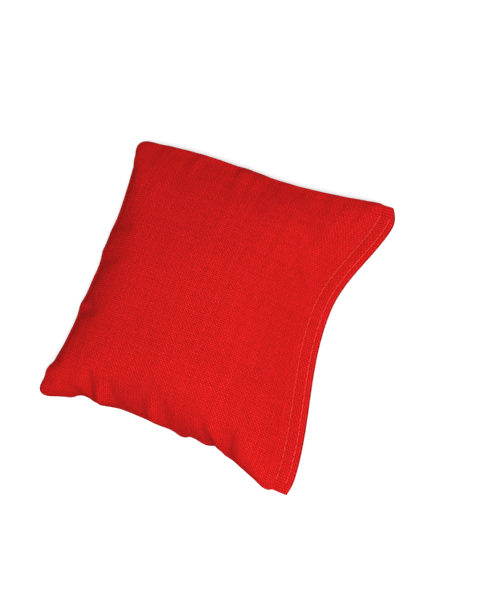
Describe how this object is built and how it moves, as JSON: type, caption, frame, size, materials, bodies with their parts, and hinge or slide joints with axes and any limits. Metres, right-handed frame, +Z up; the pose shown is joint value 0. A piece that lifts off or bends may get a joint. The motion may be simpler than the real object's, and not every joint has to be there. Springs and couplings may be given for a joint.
{
  "type": "juggling bean bag",
  "caption": "Square canvas bean bag for juggling and tossing, sewn on turned seams, filled with dried corn and closed by a flat topstitched edge.",
  "frame": {"origin": "middle of the bag's outline, on the surface that the bag lies on", "axes": "+Z up through the thickness of the bag, +X towards the flat closing edge, +Y along that edge"},
  "size_m": [0.1508, 0.1518, 0.04],
  "materials": {
    "red_canvas": "matt piece-dyed plain weave cotton duck",
    "red_thread": "soft sheen twisted sewing thread",
    "dried_corn": "smooth waxy kernel skin"
  },
  "bodies": {
    "root": {"front_panel": "red_canvas", "back_panel": "red_canvas", "corn_fill": "dried_corn", "side_seam_needle_thread": "red_thread", "side_seam_bobbin_thread": "red_thread", "closing_outer_needle_thread": "red_thread", "closing_outer_bobbin_thread": "red_thread", "closing_inner_needle_thread": "red_thread", "closing_inner_bobbin_thread": "red_thread"}
  },
  "joints": []
}
